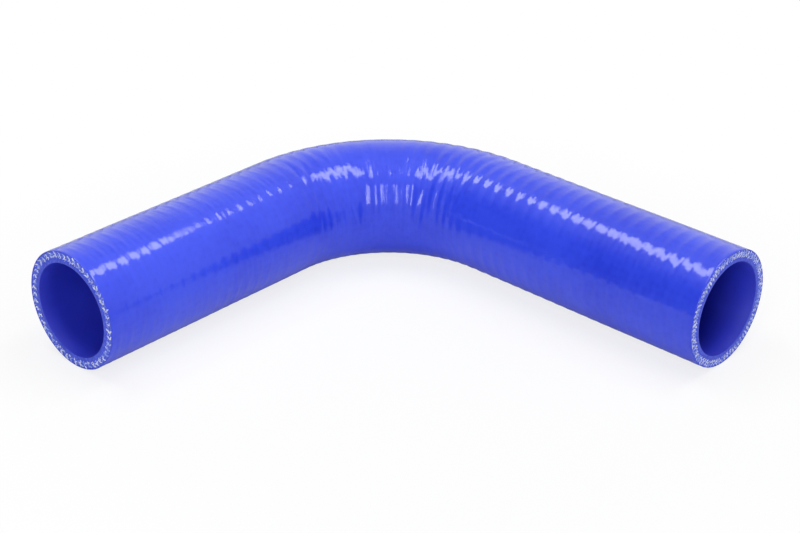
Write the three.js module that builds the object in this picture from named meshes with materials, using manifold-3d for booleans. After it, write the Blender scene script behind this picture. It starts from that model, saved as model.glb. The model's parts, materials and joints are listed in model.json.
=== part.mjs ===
// Coolant hose coupler: a preformed elbow of reinforced silicone rubber, vulcanised in one piece,
// with two plain straight legs. It lies on its side, as it rests on a bench.
// Millimetres, +Z up. The origin is on the resting plane, under the centre of the overall box.
// One leg opens towards -Y and the other towards +X.

import * as THREE from 'three';
import { mergeVertices } from 'three/addons/utils/BufferGeometryUtils.js';
import Module from 'manifold-3d';

// Run of the hose, along its centreline
const firstLegStraight = 92.5; // from the cut face that looks towards -Y to the start of the bend
const secondLegStraight = 97.5; // from the end of the bend to the cut face that looks towards +X
const bendRadius = 52.5;
const bendAngle = THREE.MathUtils.degToRad(90);

// Section
const boreDiameter = 32;
const wallThickness = 4.3; // from the bore to the crest of a wrap ridge
const linerThickness = 1.7; // plain rubber inside the yarn plies
const coverThickness = 0.8; // plain rubber outside them

// Ridges that the curing wrap pressed into the cover
const wrapPitch = 5;
const wrapDepth = 0.25;

// Ends of the reinforcing yarns, a shallow zigzag in each cut face
const yarnPitch = 2.4;
const yarnWidth = 0.5;
const yarnDepth = 0.25;

// Fineness of the surfaces
const sidesRound = 36; // a multiple of four, so that a crest line touches the ground
const boreStepAngle = THREE.MathUtils.degToRad(6);

// How far a cutter runs past the face that it cuts
const cutOverrun = 1;

const boreRadius = boreDiameter / 2;
const outerRadius = boreRadius + wallThickness;
const bendLength = bendRadius * bendAngle;
const hoseLength = firstLegStraight + bendLength + secondLegStraight;
const up = new THREE.Vector3(0, 0, 1);

const rubber = new THREE.MeshStandardMaterial({
  name: 'silicone_rubber',
  color: new THREE.Color('#3a4fd8'),
  roughness: 0.35,
  metalness: 0,
});

// Place and heading on the centreline, at a distance from the first cut face. Distances before
// the first face and past the last one carry on straight, for the cutters.
function centreline(distance) {
  const bendStart = firstLegStraight;
  const turned = THREE.MathUtils.clamp((distance - bendStart) / bendLength, 0, 1) * bendAngle;
  const straightBefore = Math.min(distance, bendStart);
  const straightAfter = Math.max(distance - bendStart - bendLength, 0);
  const heading = new THREE.Vector3(Math.sin(turned), Math.cos(turned), 0);
  const point = new THREE.Vector3(
    bendRadius * (1 - Math.cos(turned)),
    straightBefore + bendRadius * Math.sin(turned),
    0,
  );
  point.addScaledVector(heading, straightAfter);
  const side = new THREE.Vector3().crossVectors(heading, up);
  return { point, heading, side };
}

// Closed body through round sections, each given by its distance along the hose and its radius
function sweep(sections) {
  const positions = [];
  const faces = [];
  for (const { distance, radius } of sections) {
    const { point, side } = centreline(distance);
    for (let i = 0; i < sidesRound; i++) {
      const angle = (i / sidesRound) * 2 * Math.PI;
      const vertex = point.clone();
      vertex.addScaledVector(side, radius * Math.cos(angle));
      vertex.addScaledVector(up, radius * Math.sin(angle));
      positions.push(vertex.x, vertex.y, vertex.z);
    }
  }
  for (let ring = 0; ring + 1 < sections.length; ring++) {
    for (let i = 0; i < sidesRound; i++) {
      const a = ring * sidesRound + i;
      const b = ring * sidesRound + ((i + 1) % sidesRound);
      faces.push(a, b + sidesRound, b, a, a + sidesRound, b + sidesRound);
    }
  }
  const lastRing = (sections.length - 1) * sidesRound;
  for (let i = 1; i + 1 < sidesRound; i++) {
    faces.push(0, i, i + 1, lastRing, lastRing + i + 1, lastRing + i);
  }
  const geometry = new THREE.BufferGeometry();
  geometry.setAttribute('position', new THREE.Float32BufferAttribute(positions, 3));
  geometry.setIndex(faces);
  return geometry;
}

// Outside of the hose: a crest at each cut face, then valley and crest by turns
function wrappedOutside() {
  const ridges = Math.max(1, Math.round(hoseLength / wrapPitch));
  const sections = [];
  for (let i = 0; i <= 2 * ridges; i++) {
    const inValley = i % 2 === 1;
    sections.push({
      distance: (i / (2 * ridges)) * hoseLength,
      radius: inValley ? outerRadius - wrapDepth : outerRadius,
    });
  }
  return sweep(sections);
}

// Bore, run out past both cut faces
function boreCutter() {
  const steps = Math.max(1, Math.ceil(bendAngle / boreStepAngle));
  const distances = [-cutOverrun];
  for (let i = 0; i <= steps; i++) {
    distances.push(firstLegStraight + (i / steps) * bendLength);
  }
  distances.push(hoseLength + cutOverrun);
  return sweep(distances.map((distance) => ({ distance, radius: boreRadius })));
}

// Zigzag outline round the axis, between two radii by turns
function zigzagPoints(lowRadius, highRadius, teeth) {
  const points = [];
  for (let i = 0; i < 2 * teeth; i++) {
    const angle = (i / teeth) * Math.PI;
    const radius = i % 2 === 0 ? lowRadius : highRadius;
    points.push(new THREE.Vector2(radius * Math.cos(angle), radius * Math.sin(angle)));
  }
  return points;
}

// Ring of yarn ends, sunk into the cut face at a distance along the hose. outward is 1 where the
// face looks along the hose's heading and -1 where it looks back.
function yarnGroove(distance, outward) {
  const lowRadius = boreRadius + linerThickness;
  const highRadius = outerRadius - coverThickness - yarnWidth;
  const teeth = Math.round((Math.PI * (lowRadius + highRadius + yarnWidth)) / yarnPitch);
  const shape = new THREE.Shape(zigzagPoints(lowRadius + yarnWidth, highRadius + yarnWidth, teeth));
  shape.holes.push(new THREE.Path(zigzagPoints(lowRadius, highRadius, teeth)));
  const geometry = new THREE.ExtrudeGeometry(shape, {
    depth: yarnDepth + cutOverrun,
    bevelEnabled: false,
  });
  const { point, heading, side } = centreline(distance);
  const out = heading.clone().multiplyScalar(outward);
  const across = new THREE.Vector3().crossVectors(up, out);
  const frame = new THREE.Matrix4().makeBasis(across, up, out);
  frame.setPosition(point.addScaledVector(out, -yarnDepth));
  return geometry.applyMatrix4(frame);
}

const wasm = await Module();
wasm.setup();

function toSolid(geometry) {
  const bare = geometry.clone();
  bare.deleteAttribute('normal');
  bare.deleteAttribute('uv');
  const merged = mergeVertices(bare, 1e-4);
  return new wasm.Manifold(new wasm.Mesh({
    numProp: 3,
    vertProperties: new Float32Array(merged.attributes.position.array),
    triVerts: new Uint32Array(merged.index.array),
  }));
}

function toGeometry(solid) {
  const { vertProperties, triVerts } = solid.getMesh();
  const geometry = new THREE.BufferGeometry();
  geometry.setAttribute('position', new THREE.BufferAttribute(vertProperties, 3));
  geometry.setIndex(new THREE.BufferAttribute(triVerts, 1));
  geometry.computeVertexNormals();
  return geometry;
}

function elbowHose() {
  const solid = toSolid(wrappedOutside())
    .subtract(toSolid(boreCutter()))
    .subtract(toSolid(yarnGroove(0, -1)))
    .subtract(toSolid(yarnGroove(hoseLength, 1)));
  const hose = new THREE.Mesh(toGeometry(solid), rubber);
  hose.name = 'elbow_hose';
  return hose;
}

const coupler = new THREE.Group();
const hose = elbowHose();
hose.geometry.computeBoundingBox();
const box = hose.geometry.boundingBox;
hose.position.set(-(box.min.x + box.max.x) / 2, -(box.min.y + box.max.y) / 2, outerRadius);
coupler.add(hose);

export default coupler;
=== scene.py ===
import json
import math
import random

import bmesh
import bpy
from mathutils import Matrix, Vector, noise

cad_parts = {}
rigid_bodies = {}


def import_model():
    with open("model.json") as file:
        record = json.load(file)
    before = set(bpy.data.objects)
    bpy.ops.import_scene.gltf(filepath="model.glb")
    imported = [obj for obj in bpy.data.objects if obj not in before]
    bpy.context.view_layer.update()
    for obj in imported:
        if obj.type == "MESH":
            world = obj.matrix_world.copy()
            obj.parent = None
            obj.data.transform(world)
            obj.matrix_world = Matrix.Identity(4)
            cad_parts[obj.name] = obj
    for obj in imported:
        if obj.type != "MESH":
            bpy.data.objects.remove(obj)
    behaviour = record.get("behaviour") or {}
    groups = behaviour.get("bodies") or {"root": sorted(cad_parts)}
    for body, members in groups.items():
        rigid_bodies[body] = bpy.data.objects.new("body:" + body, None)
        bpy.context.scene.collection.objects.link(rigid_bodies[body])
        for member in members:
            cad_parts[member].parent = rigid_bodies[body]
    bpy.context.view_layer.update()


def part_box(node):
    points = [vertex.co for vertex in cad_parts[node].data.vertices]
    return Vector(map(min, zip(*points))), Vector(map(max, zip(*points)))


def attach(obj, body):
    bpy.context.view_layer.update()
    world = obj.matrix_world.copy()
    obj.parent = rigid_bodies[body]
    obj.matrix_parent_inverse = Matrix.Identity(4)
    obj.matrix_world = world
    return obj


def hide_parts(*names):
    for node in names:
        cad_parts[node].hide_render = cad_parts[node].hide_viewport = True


for thing in list(bpy.data.objects):
    bpy.data.objects.remove(thing)
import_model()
lowCorner, highCorner = (Vector(corner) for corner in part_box("elbow_hose"))
print("frame loaded")

# Run of the hose: the bend and the section are set here, the rest comes from the frame's box
hoseRun = {
    "bendRadius": 0.0525,
    "bendAngle": math.radians(90),
    "boreRadius": 0.016,
    "linerThickness": 0.0015,
    "coverThickness": 0.0006,
}
outerRadius = (highCorner.z - lowCorner.z) / 2
shortEnd = Vector((lowCorner.x + outerRadius, lowCorner.y, outerRadius))
longEnd = Vector((highCorner.x, highCorner.y - outerRadius, outerRadius))
bendCentre = Vector((shortEnd.x + hoseRun["bendRadius"], longEnd.y - hoseRun["bendRadius"], outerRadius))
shortStraight = bendCentre.y - shortEnd.y
longStraight = longEnd.x - bendCentre.x
bendLength = hoseRun["bendRadius"] * hoseRun["bendAngle"]
plyIn, plyOut = hoseRun["boreRadius"] + hoseRun["linerThickness"], outerRadius - hoseRun["coverThickness"]
upWay, intoShort, intoLong = Vector((0, 0, 1)), Vector((0, 1, 0)), Vector((-1, 0, 0))
fullTurn = 2 * math.pi


def placeOnHose(point):
    # distance along the hose, angle round it from the inside of the bend, and the way out
    if point.y <= bendCentre.y and point.x < bendCentre.x:
        along = point.y - shortEnd.y
        axis = Vector((shortEnd.x, point.y, outerRadius))
        inside = Vector((1, 0, 0))
    elif point.x >= bendCentre.x:
        along = shortStraight + bendLength + point.x - bendCentre.x
        axis = Vector((point.x, longEnd.y, outerRadius))
        inside = Vector((0, -1, 0))
    else:
        arm = Vector((point.x - bendCentre.x, point.y - bendCentre.y, 0)).normalized()
        along = shortStraight + hoseRun["bendRadius"] * math.atan2(arm.y, -arm.x)
        axis = bendCentre + arm * hoseRun["bendRadius"]
        inside = -arm
    out = point - axis
    return along, math.atan2(out.z, out.dot(inside)), out


# Ridges that the curing wrap left in the cover. Those of the two legs blend over the bend.
wrapMarks = {
    "shortLeg": {
        "pitch": 0.0046,
        "lean": 3,  # pitches that a ridge moves along in one turn
        "depth": 0.000135,
        "cross": 0.3,  # share of the second winding, which leans the other way
        "phase": 0.626,  # of the second winding
        "sharp": 0.8,  # how much narrower the grooves are than the crests
        "fine": 0.25,  # share of the lines halfway between the ridges
        "wander": 0.067,  # unevenness of the pitch, in pitches
        "wanderLength": 0.01417,
        "uneven": 0.494,  # unevenness of the depth
        "unevenLength": 0.00791,
        "start": 36.035,  # of both
        # smoother patches: place, length and strength
        "quiet": [(0.03997, 0.01302, 0.907), (0.07384, 0.02, 0.3)],
        "lost": 0.2,  # share of the depth that is lost on the other sides of the hose
    },
    "longLeg": {
        "pitch": 0.004859,
        "lean": 3,
        "depth": 0.00024,
        "cross": 0.566,
        "phase": 0.22,
        "sharp": 1.262,
        "fine": 0.16,
        "wander": 0.372,
        "wanderLength": 0.02754,
        "uneven": 0.592,
        "unevenLength": 0.01717,
        "start": 0.7164,
        "quiet": [(0.24114, 0.01607, 0.415), (0.26749, 0.00416, 0.8)],
        "lost": 0.5,
    },
}
ridgeSide = math.radians(58)  # where round the hose the ridges are deepest and the patches lie
ridgeSpread, quietSpread = math.radians(50), math.radians(35)
slowWaves = {"depth": 0.00008, "length": 0.03}  # unevenness of the wall
fineFade = 0.012  # the fine lines end this far before the bend
reliefReach = 0.0005  # depth under the cover that still follows the ridges

# how the slow unevenness runs: rate along the hose, turns round it and share of the start
swayCourses = ((1, 0, 1.7), (1.62, 1, 2.3), (0.71, -2, 3.1))

# Creases across the bend: place along the hose, lean, width, depth on the inside of the bend and on top
bendCreases = [
    (0.0910, 0.0032, 0.00068, 0.00007, 0.00020),
    (0.0912, 0.0028, 0.00176, 0.00009, 0.00019),
    (0.0938, 0.0058, 0.00081, 0.00011, 0.00020),
    (0.0965, 0.0023, 0.00137, 0.00013, 0.00018),
    (0.1008, 0.0010, 0.00147, 0.00016, 0.00020),
    (0.1035, 0.0007, 0.00240, 0.00000, 0.00017),
    (0.1133, -0.0059, 0.00065, 0.00008, 0.00008),
    (0.1198, -0.0038, 0.00240, 0.00026, 0.00020),
    (0.1212, 0.0060, 0.00148, 0.00027, 0.00010),
    (0.1215, -0.0013, 0.00218, 0.00028, 0.00020),
    (0.1264, 0.0011, 0.00095, 0.00027, 0.00001),
    (0.1293, -0.0002, 0.00063, 0.00014, 0.00000),
    (0.1301, -0.0037, 0.00110, 0.00012, 0.00004),
    (0.1375, 0.0035, 0.00089, 0.00005, 0.00008),
    (0.1402, 0.0034, 0.00189, 0.00010, 0.00008),
    (0.1430, -0.0002, 0.00097, 0.00030, 0.00006),
    (0.1461, 0.0005, 0.00190, 0.00039, 0.00016),
    (0.1471, 0.0055, 0.00197, 0.00034, 0.00019),
    (0.1519, 0.0027, 0.00100, 0.00025, 0.00017),
    (0.1531, 0.0059, 0.00149, 0.00028, 0.00020),
    (0.1610, -0.0011, 0.00060, 0.00008, 0.00004),
    (0.1670, -0.0048, 0.00066, 0.00008, 0.00005),
    (0.1721, -0.0002, 0.00193, 0.00000, 0.00017),
    (0.1722, -0.0038, 0.00114, 0.00006, 0.00019),
]
creaseSide = math.radians(25)  # where on the inside of the bend they are deepest, and their ends from there
creaseFrom, creaseTo, creaseFade = math.radians(-52), math.radians(80), math.radians(36)


def sway(along, around, start):
    # slow unevenness from -1 to 1, which meets itself round the hose
    waves = [math.sin(rate * along + turns * around + share * start) for rate, turns, share in swayCourses]
    return sum(waves) / len(waves)


def within(value):
    return min(1, max(0, value))


def eased(value):
    # a smooth step from 0 to 1
    value = within(value)
    return value * value * (3 - 2 * value)


def groove(turns, sharp):
    return (0.5 + 0.5 * math.cos(fullTurn * turns)) ** sharp


def windings(along, around, marks):
    # depth of the two crossed windings; each unevenness has a start of its own
    lean = marks["lean"] * around / fullTurn
    turns, slow, start = along / marks["pitch"], along / marks["wanderLength"], marks["start"]
    first = turns + lean + marks["wander"] * sway(slow, around, start)
    second = turns - lean + marks["wander"] * sway(slow, around, start + 5) + marks["phase"]
    depth = 1 + marks["uneven"] * sway(along / marks["unevenLength"], around, start + 9)
    turned = around - ridgeSide
    depth *= 1 - marks["lost"] * (1 - math.exp(-(turned / ridgeSpread) ** 2))
    for at, length, strength in marks["quiet"]:
        away = ((along - at) / length) ** 2 + (turned / quietSpread) ** 2
        depth *= 1 - strength * math.exp(-away)
    crossed = groove(first, marks["sharp"]) * (1 - marks["cross"])
    crossed += groove(second, marks["sharp"]) * marks["cross"]
    between = groove(2 * first + 0.5, 1) + groove(2 * second + 0.5, 1)
    fromBend = max(shortStraight - along, along - shortStraight - bendLength)
    between *= marks["fine"] * within(fromBend / fineFade)
    return marks["depth"] * depth * (crossed + between)


def creasesAt(along, around):
    turned = around - creaseSide
    turned -= fullTurn * round(turned / fullTurn)
    inner = max(0, math.cos(turned)) ** 2
    total = 0
    for at, lean, width, deep, top in bendCreases:
        away = (along - at - lean * turned) / width
        total += (deep * inner + top * (1 - inner)) * math.exp(-away * away / 2)
    return total * eased(min(turned - creaseFrom, creaseTo - turned) / creaseFade)


def wrapRelief(along, around):
    # how far the cover lies under its crest line
    through = eased((along - shortStraight) / bendLength)
    spot = Vector((along, outerRadius * math.cos(around), outerRadius * math.sin(around)))
    depth = slowWaves["depth"] * (0.5 + 0.5 * noise.noise(spot / slowWaves["length"]))
    for share, leg in ((1 - through, "shortLeg"), (through, "longLeg")):
        if share > 0:
            depth += share * windings(along, around, wrapMarks[leg])
    return depth + creasesAt(along, around)


# Body of the hose, swept from one ring
hoseBody = {
    "sidesRound": 130,
    "legStep": 0.0005,
    "bendStep": 0.0003,
    "boreStep": 0.006,
    "boreBendStep": 0.002,
    "edgeBreak": 0.00012,  # rounding of the knife's edges
    "plyRecess": 0.0001,  # depth of the ply ring under the cut face
    "plyShoulder": 0.0001,
    "mergeReach": 0.00001,
    "radialShare": 0.6,  # of a face's normal along the radius, past which it is cover or bore
}


def edgesOf(verts):
    return list(dict.fromkeys(edge for vert in verts for edge in vert.link_edges))


def newRing(bm, edges):
    made = bmesh.ops.extrude_edge_only(bm, edges=edges)["geom"]
    verts = [item for item in made if isinstance(item, bmesh.types.BMVert)]
    fresh = set(verts)
    ring = [item for item in made if isinstance(item, bmesh.types.BMEdge) and set(item.verts) <= fresh]
    return ring, verts


def runStraight(bm, edges, run, step):
    # one long extrusion, then cut into equal steps
    far, verts = newRing(bm, edges)
    bmesh.ops.translate(bm, verts=verts, vec=run)
    ends = set(far)
    lengthwise = [edge for vert in verts for edge in vert.link_edges if edge not in ends]
    cuts = max(1, round(run.length / step)) - 1
    bmesh.ops.subdivide_edges(bm, edges=lengthwise, cuts=cuts)
    return far


def runBend(bm, edges, centre, axis, angle, steps):
    ring = edges + list(dict.fromkeys(vert for edge in edges for vert in edge.verts))
    spun = bmesh.ops.spin(
        bm, geom=ring, cent=centre, axis=axis, dvec=(0, 0, 0), angle=angle,
        steps=steps, use_merge=False, use_duplicate=False,
    )["geom_last"]
    return [item for item in spun if isinstance(item, bmesh.types.BMEdge)]


def stepOverFace(bm, edges, centre, inward, steps):
    # each step scales the ring in the plane of the cut and moves it in or out
    for scaleBy, moveIn in steps:
        edges, verts = newRing(bm, edges)
        inPlane = Vector(1 if abs(part) > 0.5 else scaleBy for part in inward)
        bmesh.ops.scale(bm, verts=verts, vec=inPlane, space=Matrix.Translation(-centre))
        bmesh.ops.translate(bm, verts=verts, vec=inward * moveIn)


def cutFaceSteps():
    # radius and depth of each ring from the bore outwards, turned into scale and move steps
    # the rings close to each corner keep its rounding tight
    bore, edge = hoseRun["boreRadius"], hoseBody["edgeBreak"]
    recess, shoulder = hoseBody["plyRecess"], hoseBody["plyShoulder"]
    rings = [
        (bore, edge), (bore + edge, 0), (bore + 4 * edge, 0),
        (plyIn - shoulder, 0), (plyIn, recess), (plyIn + 4 * shoulder, recess),
        (plyOut - 4 * shoulder, recess), (plyOut, recess), (plyOut + shoulder, 0),
        (outerRadius - 3 * edge, 0), (outerRadius - edge, 0), (outerRadius, edge),
    ]
    pairs = zip(rings, rings[1:])
    return [(after / before, deepAfter - deep) for (before, deep), (after, deepAfter) in pairs]


def sweepTube(bm, radius, step, bendStep):
    # a tube from bend to both ends; returns the rings at its short and long end
    edge = hoseBody["edgeBreak"]
    ring = bmesh.ops.create_circle(bm, cap_ends=False, segments=hoseBody["sidesRound"], radius=radius)
    verts = ring["verts"]
    bmesh.ops.rotate(bm, verts=verts, cent=(0, 0, 0), matrix=Matrix.Rotation(math.radians(90), 3, "X"))
    bmesh.ops.translate(bm, verts=verts, vec=(shortEnd.x, bendCentre.y, outerRadius))
    start = edgesOf(verts)
    bendSteps = round(bendLength / bendStep)
    bent = runBend(bm, start, bendCentre, upWay, -hoseRun["bendAngle"], bendSteps)
    atShort = runStraight(bm, start, intoShort * (edge - shortStraight), step)
    atLong = runStraight(bm, bent, intoLong * (edge - longStraight), step)
    return atShort, atLong


def sweepHose():
    bm = bmesh.new()
    bore, body = hoseRun["boreRadius"], hoseBody
    atShort, atLong = sweepTube(bm, bore, body["boreStep"], body["boreBendStep"])
    stepOverFace(bm, atShort, shortEnd, intoShort, cutFaceSteps())
    stepOverFace(bm, atLong, longEnd, intoLong, cutFaceSteps())
    sweepTube(bm, outerRadius, body["legStep"], body["bendStep"])
    bmesh.ops.remove_doubles(bm, verts=bm.verts, dist=body["mergeReach"])
    bmesh.ops.recalc_face_normals(bm, faces=bm.faces)
    print("hose swept:", len(bm.faces), "faces")
    return bm


def pressRidges(bm):
    for vert in bm.verts:
        along, around, out = placeOnHose(vert.co)
        follow = within(1 - (outerRadius - out.length) / reliefReach)
        if follow > 0:
            vert.co -= out.normalized() * follow * wrapRelief(along, around)
    print("ridges pressed in")


def layUv(bm):
    # u runs round the hose and v along it, both in metres
    layer = bm.loops.layers.uv.new("hoseUv")
    for face in bm.faces:
        middle = placeOnHose(face.calc_center_median())[1]
        for loop in face.loops:
            along, around, _ = placeOnHose(loop.vert.co)
            if abs(around - middle) > math.pi:
                around += math.copysign(fullTurn, middle)
            loop[layer].uv = (around * outerRadius, along)


def nameFaces(bm, cover, cut, bore, plies):
    radial = hoseBody["radialShare"]
    for face in bm.faces:
        out = placeOnHose(face.calc_center_median())[2]
        sideways = face.normal.dot(out.normalized())
        across = plies if plyIn < out.length < plyOut else cut
        face.material_index = cover if sideways > radial else bore if sideways < -radial else across
        face.smooth = True


def toObject(bm, name, materials):
    mesh = bpy.data.meshes.new(name)
    bm.to_mesh(mesh)
    bm.free()
    piece = bpy.data.objects.new(name, mesh)
    bpy.context.scene.collection.objects.link(piece)
    for material in materials:
        mesh.materials.append(material)
    return piece


# Yarn ends in each cut face: chains of small chevrons, as cut knitted plies show, and loose tips
yarnEnds = {
    "thickness": 0.00032,
    "armLength": 0.0008,
    "opening": math.radians(74),
    "apexRadius": 0.0002,
    "apexSteps": 4,
    "sides": 7,
    "sunk": 0.00004,  # of its middle, under the cut face
    "turnJitter": math.radians(26),
    "sizeJitter": 0.25,
    "placeJitter": 0.0002,
    "deepJitter": (-0.2, 0.5),  # in placeJitter
    "tipCount": 200,
    "tipRadius": 0.00013,
    "tipStretch": (0.6, 1.4),
    "tipRings": 5,
    "seed": 11,
}
# chains of each face: place in the ply ring, from 0 at the liner to 1 at the cover, size and pitch
yarnChains = {
    "shortLegYarnEnds": [(0.22, 0.7, 0.0024), (0.6, 1.3, 0.0024)],
    "longLegYarnEnds": [(0.18, 0.7, 0.0015), (0.5, 0.75, 0.0016), (0.82, 0.8, 0.0016)],
}


def toMesh(bm, name):
    bmesh.ops.recalc_face_normals(bm, faces=bm.faces)
    for face in bm.faces:
        face.smooth = True
    mesh = bpy.data.meshes.new(name)
    bm.to_mesh(mesh)
    bm.free()
    return mesh


def sweepStitch():
    # one chevron, flat in X and Y, its apex towards +X
    bm = bmesh.new()
    half = yarnEnds["opening"] / 2
    ring = bmesh.ops.create_circle(
        bm, cap_ends=False, segments=yarnEnds["sides"], radius=yarnEnds["thickness"] / 2)
    verts = ring["verts"]
    bmesh.ops.rotate(bm, verts=verts, cent=(0, 0, 0), matrix=Matrix.Rotation(math.radians(90), 3, "Y"))
    bmesh.ops.translate(bm, verts=verts, vec=(0, -yarnEnds["apexRadius"], 0))
    bmesh.ops.rotate(bm, verts=verts, cent=(0, 0, 0), matrix=Matrix.Rotation(half, 3, "Z"))
    start = edgesOf(verts)
    armWay = Vector((math.cos(half), math.sin(half), 0))
    turned = runBend(bm, start, (0, 0, 0), upWay, math.pi - 2 * half, yarnEnds["apexSteps"])
    arm, step = yarnEnds["armLength"], yarnEnds["armLength"] / 2
    for ends in (
        runStraight(bm, start, -armWay * arm, step),
        runStraight(bm, turned, Vector((-armWay.x, armWay.y, 0)) * arm, step),
    ):
        bmesh.ops.edgeloop_fill(bm, edges=ends)
    return toMesh(bm, "stitch")


def roundTip():
    bm = bmesh.new()
    sides, rings = yarnEnds["sides"], yarnEnds["tipRings"]
    bmesh.ops.create_uvsphere(bm, u_segments=sides, v_segments=rings, radius=yarnEnds["tipRadius"])
    return toMesh(bm, "tip")


def layYarnEnds(name, end, inward, seed, material):
    # chains of stitches round the ply ring of one cut face, with loose tips between them
    chance = random.Random(seed)
    stitch, tip = sweepStitch(), roundTip()
    side = upWay.cross(inward)
    jitter = yarnEnds["placeJitter"]
    bm = bmesh.new()

    def lay(mesh, turn, radius, spin, size):
        out = side * math.cos(turn) + upWay * math.sin(turn)
        onward = upWay * math.cos(turn) - side * math.sin(turn)
        deep = yarnEnds["sunk"] + chance.uniform(*yarnEnds["deepJitter"]) * jitter
        lie = Matrix((onward, out, onward.cross(out))).transposed().to_4x4()
        copy = mesh.copy()
        copy.transform(Matrix.Translation(end + out * radius + inward * deep) @ lie
                       @ Matrix.Rotation(spin, 4, "Z") @ Matrix.Diagonal(size).to_4x4())
        bm.from_mesh(copy)
        bpy.data.meshes.remove(copy)

    for share, scale, pitch in yarnChains[name]:
        middle = plyIn + (plyOut - plyIn) * share
        count = round(fullTurn * middle / pitch)
        start = chance.uniform(0, 1)
        for number in range(count):
            turn = fullTurn * (number + start) / count + chance.uniform(-1, 1) * jitter / middle
            size = scale * (1 + chance.uniform(-1, 1) * yarnEnds["sizeJitter"])
            spin = chance.uniform(-1, 1) * yarnEnds["turnJitter"]
            lay(stitch, turn, middle + chance.uniform(-1, 1) * jitter, spin, (size, size, size))
    for _ in range(yarnEnds["tipCount"]):
        radius = chance.uniform(plyIn + yarnEnds["tipRadius"], plyOut - yarnEnds["tipRadius"])
        size = [chance.uniform(*yarnEnds["tipStretch"]) for _ in range(3)]
        lay(tip, chance.uniform(0, fullTurn), radius, chance.uniform(0, math.pi), size)
    bpy.data.meshes.remove(stitch)
    bpy.data.meshes.remove(tip)
    print(name, "laid:", len(bm.faces), "faces")
    return toObject(bm, name, [material])


# Materials
def startMaterial(name):
    material = bpy.data.materials.new(name)
    material.use_nodes = True
    tree = material.node_tree
    tree.nodes.clear()
    output = tree.nodes.new("ShaderNodeOutputMaterial")
    shader = tree.nodes.new("ShaderNodeBsdfPrincipled")
    tree.links.new(shader.outputs["BSDF"], output.inputs["Surface"])
    return material, tree, shader


def addNode(tree, kind, values=None, **settings):
    node = tree.nodes.new(kind)
    for setting, value in settings.items():
        setattr(node, setting, value)
    for socket, value in (values or {}).items():
        node.inputs[socket].default_value = value
    return node


def fromSrgb(red, green, blue):
    def linear(value):
        value /= 255
        return value / 12.92 if value <= 0.04045 else ((value + 0.055) / 1.055) ** 2.4
    return (linear(red), linear(green), linear(blue), 1)


def noiseOn(tree, coordinates, scale, detail=3, roughness=0.5):
    texture = addNode(tree, "ShaderNodeTexNoise", {"Scale": scale, "Detail": detail, "Roughness": roughness})
    tree.links.new(coordinates, texture.inputs["Vector"])
    return texture.outputs["Fac"]


def shadeBy(tree, factor, finish, shader):
    # from the deeper shade to the paler one as the factor rises
    node = addNode(tree, "ShaderNodeValToRGB")
    deeper, paler = node.color_ramp.elements
    deeper.position, deeper.color = finish["shadeFrom"], finish["deeper"]
    paler.position, paler.color = finish["shadeTo"], finish["paler"]
    tree.links.new(factor, node.inputs["Fac"])
    tree.links.new(node.outputs["Color"], shader.inputs["Base Color"])


def bumpBy(tree, height, distance, under=None):
    node = addNode(tree, "ShaderNodeBump", {"Distance": distance})
    tree.links.new(height, node.inputs["Height"])
    if under is not None:
        tree.links.new(under, node.inputs["Normal"])
    return node.outputs["Normal"]


coverFinish = {
    "paler": fromSrgb(49, 75, 238),
    "deeper": fromSrgb(37, 61, 224),
    "shadeFrom": 0.45,
    "shadeTo": 0.75,
    "shadeScale": 30,
    "shadeDetail": 7,
    "shadeRoughness": 0.62,
    "knitSize": 0.0024,  # the plies' knit, faint through the cover
    "knitRandomness": 0.5,
    "knitShade": 0.3,
    "knitDepth": 0.00002,
    "sheenRoughness": 0.42,  # soft sheen under the gloss
    "sheenLevel": 0.22,
    "gloss": 0.84,
    "glossRoughness": 0.065,
    "creaseLength": 0.0012,  # fine creases across the hose, and how much longer they run round it
    "creaseStretch": 9,
    "creaseRoughness": 0.6,
    "creaseDepth": 0.00006,
    "peelScale": 420,
    "peelDepth": 0.00005,
}


def coverMaterial():
    material, tree, shader = startMaterial("glossySilicone")
    finish = coverFinish
    place = addNode(tree, "ShaderNodeTexCoord").outputs["Object"]
    shade = noiseOn(tree, place, finish["shadeScale"], finish["shadeDetail"], finish["shadeRoughness"])
    uv = addNode(tree, "ShaderNodeUVMap", uv_map="hoseUv")
    cells = {"Scale": 1 / finish["knitSize"], "Randomness": finish["knitRandomness"]}
    knit = addNode(tree, "ShaderNodeTexVoronoi", cells, feature="SMOOTH_F1")
    tree.links.new(uv.outputs["UV"], knit.inputs["Vector"])
    shaded = addNode(tree, "ShaderNodeMath", {1: finish["knitShade"]}, operation="MULTIPLY_ADD")
    tree.links.new(knit.outputs["Distance"], shaded.inputs[0])
    tree.links.new(shade, shaded.inputs[2])
    shadeBy(tree, shaded.outputs[0], finish, shader)
    shader.inputs["Roughness"].default_value = finish["sheenRoughness"]
    shader.inputs["Specular IOR Level"].default_value = finish["sheenLevel"]
    shader.inputs["Coat Weight"].default_value = finish["gloss"]
    shader.inputs["Coat Roughness"].default_value = finish["glossRoughness"]
    peel = noiseOn(tree, place, finish["peelScale"], detail=2)
    normal = bumpBy(tree, peel, finish["peelDepth"])
    normal = bumpBy(tree, knit.outputs["Distance"], finish["knitDepth"], under=normal)
    along = 1 / finish["creaseLength"]
    longer = (along / finish["creaseStretch"], along, 1)
    stretched = addNode(tree, "ShaderNodeMapping", {"Scale": longer})
    tree.links.new(uv.outputs["UV"], stretched.inputs["Vector"])
    creases = noiseOn(tree, stretched.outputs["Vector"], 1, roughness=finish["creaseRoughness"])
    normal = bumpBy(tree, creases, finish["creaseDepth"], under=normal)
    tree.links.new(normal, shader.inputs["Normal"])
    tree.links.new(normal, shader.inputs["Coat Normal"])
    return material


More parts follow.
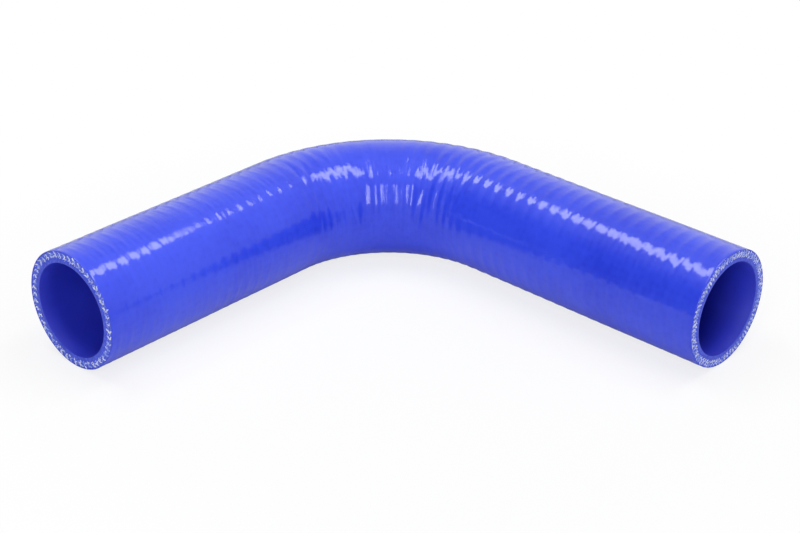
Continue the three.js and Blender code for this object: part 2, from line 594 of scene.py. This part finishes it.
# Matt finishes, each of two shades that a noise mixes, most with a grain of their own
mattFinishes = {
    "knifeCutSilicone": {
        "paler": fromSrgb(84, 104, 240),
        "deeper": fromSrgb(56, 72, 214),
        "shadeFrom": 0.35,
        "shadeTo": 0.65,
        "shadeScale": 1400,
        "shadeDetail": 4,
        "roughness": 0.6,
        "grain": {"scale": 1400, "detail": 4, "depth": 0.00004},
    },
    # rubber between the yarns, speckled with the finest fibres
    "soakedPlies": {
        "paler": fromSrgb(120, 140, 245),
        "deeper": fromSrgb(62, 80, 226),
        "shadeFrom": 0.4,
        "shadeTo": 0.65,
        "shadeScale": 2700,
        "shadeDetail": 2,
        "roughness": 0.65,
    },
    # the liner's own blue, made darker as painted shade for the inside of the bore
    "linerWithPaintedShade": {
        "paler": fromSrgb(41, 55, 208),
        "deeper": fromSrgb(31, 42, 188),
        "shadeFrom": 0.3,
        "shadeTo": 0.7,
        "shadeScale": 60,
        "shadeDetail": 3,
        "roughness": 0.6,
        "grain": {"scale": 700, "detail": 3, "depth": 0.00001},
    },
    # white yarn, stained by the rubber
    "polyesterYarn": {
        "paler": fromSrgb(240, 246, 255),
        "deeper": fromSrgb(150, 172, 252),
        "shadeFrom": 0.4,
        "shadeTo": 0.58,
        "shadeScale": 520,
        "shadeDetail": 3,
        "roughness": 0.62,
        "grain": {"scale": 5200, "detail": 2, "depth": 0.00005},
    },
}


def mattMaterial(name):
    material, tree, shader = startMaterial(name)
    finish = mattFinishes[name]
    place = addNode(tree, "ShaderNodeTexCoord").outputs["Object"]
    shadeBy(tree, noiseOn(tree, place, finish["shadeScale"], finish["shadeDetail"]), finish, shader)
    shader.inputs["Roughness"].default_value = finish["roughness"]
    if "grain" in finish:
        grain = finish["grain"]
        height = noiseOn(tree, place, grain["scale"], grain["detail"])
        tree.links.new(bumpBy(tree, height, grain["depth"]), shader.inputs["Normal"])
    return material


# Camera, as in the photograph
cameraPlace = {
    "azimuth": 42.23,
    "elevation": 28.12,
    "roll": 0.74,
    "distance": 0.6118,
    "aim": (-0.0098, 0.0111, 0.0203),
    "lens": 83.07,
    "sensor": 36,
    "nearest": 0.01,
}
azimuth, elevation, roll = (math.radians(cameraPlace[angle]) for angle in ("azimuth", "elevation", "roll"))
rightWay = Vector((math.cos(azimuth), math.sin(azimuth), 0))
forwardWay = Vector((-math.sin(azimuth), math.cos(azimuth), 0))


def placeCamera():
    data = bpy.data.cameras.new("camera")
    data.lens = cameraPlace["lens"]
    data.sensor_width = cameraPlace["sensor"]
    data.clip_start = cameraPlace["nearest"]
    camera = bpy.data.objects.new("camera", data)
    bpy.context.scene.collection.objects.link(camera)
    look = forwardWay * math.cos(elevation) - upWay * math.sin(elevation)
    level = rightWay.cross(look)
    across = rightWay * math.cos(roll) + level * math.sin(roll)
    over = level * math.cos(roll) - rightWay * math.sin(roll)
    turn = Matrix((across, over, -look)).transposed().to_4x4()
    stand = Vector(cameraPlace["aim"]) - look * cameraPlace["distance"]
    camera.matrix_world = Matrix.Translation(stand) @ turn
    bpy.context.scene.camera = camera


# Lamps, in metres to the right of, beyond and above the frame's origin as the camera sees it. The front
# one stands upright and faces the hose, the others look down.
lamps = {
    "overRight": {"at": (0.265, 0.065, 0.75), "turn": -11, "width": 0.175, "length": 0.55},
    "overLeft": {"at": (-0.26, 0.075, 0.75), "turn": 8, "width": 0.17, "length": 0.6},
    "front": {"at": (-0.19, -0.77, 0.56), "turn": 0, "width": 0.25, "length": 0.78, "upright": True},
}
lampRadiance = 7.0


def placeLamp(name, lamp):
    data = bpy.data.lights.new(name, "AREA")
    data.shape = "RECTANGLE"
    data.size, data.size_y = lamp["width"], lamp["length"]
    data.energy = lampRadiance * math.pi * lamp["width"] * lamp["length"]
    lit = bpy.data.objects.new(name, data)
    bpy.context.scene.collection.objects.link(lit)
    lit.visible_camera = False
    right, beyond, up = lamp["at"]
    place = rightWay * right + forwardWay * beyond + upWay * up
    if "upright" in lamp:
        facing = Vector((place.x, place.y, 0)).normalized()
        across = upWay.cross(facing)
        turn = Matrix((across, upWay, facing)).transposed().to_4x4()
    else:
        turn = Matrix((rightWay, forwardWay, upWay)).transposed().to_4x4()
    turn = turn @ Matrix.Rotation(math.radians(lamp["turn"]), 4, "Z")
    lit.matrix_world = Matrix.Translation(place) @ turn


# Studio: pale floor, white surroundings
studio = {
    "floorSize": 6,
    "floorSeen": 1.0,
    "floorBounce": 0.8,  # what the hose gets back from the floor
    "floorRoughness": 0.9,
    "shadowFrom": 0.1,  # metres from the origin where the floor starts to turn plain white
    "shadowTo": 0.18,
    "shadowShare": 0.22,  # how much of the floor's own shading the camera sees near the hose
    # brightness of the surroundings, as the gloss mirrors them and as they light the hose softly
    "mirrored": {"left": 0.1, "right": 0.76, "front": 0.74, "back": 1.04, "above": 0.72},
    "soft": {"left": 0.1, "right": 1.08, "front": 0.065, "back": 0.05, "above": 0.03},
    # where one side blends into the next, as the share of a direction that points that way
    "blends": {"sides": (-0.8, 0.8), "front": (-0.9, -0.4), "back": (0.1, 0.7), "above": (0.55, 0.9)},
}


def layFloor():
    # the camera sees the floor's shadow near the hose, and plain white further out
    bm = bmesh.new()
    bmesh.ops.create_grid(bm, x_segments=1, y_segments=1, size=studio["floorSize"] / 2)
    material, tree, shader = startMaterial("paleFloor")
    shader.inputs["Roughness"].default_value = studio["floorRoughness"]
    shader.inputs["Specular IOR Level"].default_value = 0
    path = addNode(tree, "ShaderNodeLightPath")
    greys = {"To Min": studio["floorBounce"], "To Max": studio["floorSeen"]}
    grey = addNode(tree, "ShaderNodeMapRange", greys)
    tree.links.new(path.outputs["Is Camera Ray"], grey.inputs["Value"])
    tree.links.new(grey.outputs["Result"], shader.inputs["Base Color"])
    place = addNode(tree, "ShaderNodeTexCoord")
    reach = addNode(tree, "ShaderNodeVectorMath", operation="LENGTH")
    tree.links.new(place.outputs["Object"], reach.inputs[0])
    fade = addNode(tree, "ShaderNodeMapRange", {
        "From Min": studio["shadowFrom"],
        "From Max": studio["shadowTo"],
        "To Min": 1 - studio["shadowShare"],
    })
    tree.links.new(reach.outputs["Value"], fade.inputs["Value"])
    seen = addNode(tree, "ShaderNodeMath", operation="MULTIPLY")
    tree.links.new(path.outputs["Is Camera Ray"], seen.inputs[0])
    tree.links.new(fade.outputs["Result"], seen.inputs[1])
    white = addNode(tree, "ShaderNodeEmission")
    mixed = addNode(tree, "ShaderNodeMixShader")
    tree.links.new(seen.outputs[0], mixed.inputs["Fac"])
    tree.links.new(shader.outputs["BSDF"], mixed.inputs[1])
    tree.links.new(white.outputs["Emission"], mixed.inputs[2])
    output = next(node for node in tree.nodes if node.type == "OUTPUT_MATERIAL")
    tree.links.new(mixed.outputs["Shader"], output.inputs["Surface"])
    toObject(bm, "floor", [material])


def turnedTo(tree, sky, way, blend, atLow, atHigh):
    # a value that changes from atLow to atHigh as a direction turns towards way
    low, high = studio["blends"][blend]
    lean = addNode(tree, "ShaderNodeVectorMath", operation="DOT_PRODUCT")
    lean.inputs[1].default_value = way
    tree.links.new(sky, lean.inputs[0])
    value = addNode(tree, "ShaderNodeMapRange", {"From Min": low, "From Max": high})
    value.interpolation_type = "SMOOTHSTEP"
    tree.links.new(lean.outputs["Value"], value.inputs["Value"])
    for socket, given in (("To Min", atLow), ("To Max", atHigh)):
        if isinstance(given, float):
            value.inputs[socket].default_value = given
        else:
            tree.links.new(given, value.inputs[socket])
    return value.outputs["Result"]


def wallGlow(tree, sky, glow):
    sides = turnedTo(tree, sky, rightWay, "sides", glow["left"], glow["right"])
    front = turnedTo(tree, sky, forwardWay, "front", glow["front"], sides)
    back = turnedTo(tree, sky, forwardWay, "back", front, glow["back"])
    return turnedTo(tree, sky, upWay, "above", back, glow["above"])


def lightWorld():
    world = bpy.data.worlds.new("studio")
    bpy.context.scene.world = world
    world.use_nodes = True
    tree = world.node_tree
    tree.nodes.clear()
    output = tree.nodes.new("ShaderNodeOutputWorld")
    back = addNode(tree, "ShaderNodeBackground", {"Color": (1, 1, 1, 1)})
    path = addNode(tree, "ShaderNodeLightPath")
    sky = addNode(tree, "ShaderNodeTexCoord").outputs["Generated"]
    soft = addNode(tree, "ShaderNodeMix", data_type="FLOAT")
    tree.links.new(path.outputs["Is Glossy Ray"], soft.inputs["Factor"])
    tree.links.new(wallGlow(tree, sky, studio["soft"]), soft.inputs["A"])
    tree.links.new(wallGlow(tree, sky, studio["mirrored"]), soft.inputs["B"])
    seen = addNode(tree, "ShaderNodeMix", data_type="FLOAT")
    seen.inputs["B"].default_value = 1
    tree.links.new(path.outputs["Is Camera Ray"], seen.inputs["Factor"])
    tree.links.new(soft.outputs["Result"], seen.inputs["A"])
    tree.links.new(seen.outputs["Result"], back.inputs["Strength"])
    tree.links.new(back.outputs["Background"], output.inputs["Surface"])


# Making
bm = sweepHose()
layUv(bm)
pressRidges(bm)
nameFaces(bm, cover=0, cut=1, bore=2, plies=3)
mattOnes = [mattMaterial(name) for name in ("knifeCutSilicone", "linerWithPaintedShade", "soakedPlies")]
hose = toObject(bm, "elbowHose", [coverMaterial()] + mattOnes)
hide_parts("elbow_hose")
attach(hose, "root")

yarn = mattMaterial("polyesterYarn")
for name, end, inward, seed in (
    ("shortLegYarnEnds", shortEnd, intoShort, yarnEnds["seed"]),
    ("longLegYarnEnds", longEnd, intoLong, yarnEnds["seed"] + 1),
):
    chain = layYarnEnds(name, end, inward, seed, yarn)
    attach(chain, "root")

placeCamera()
for name, lamp in lamps.items():
    placeLamp(name, lamp)
layFloor()
lightWorld()
bpy.context.scene.view_settings.view_transform = "Standard"
print("studio lit")
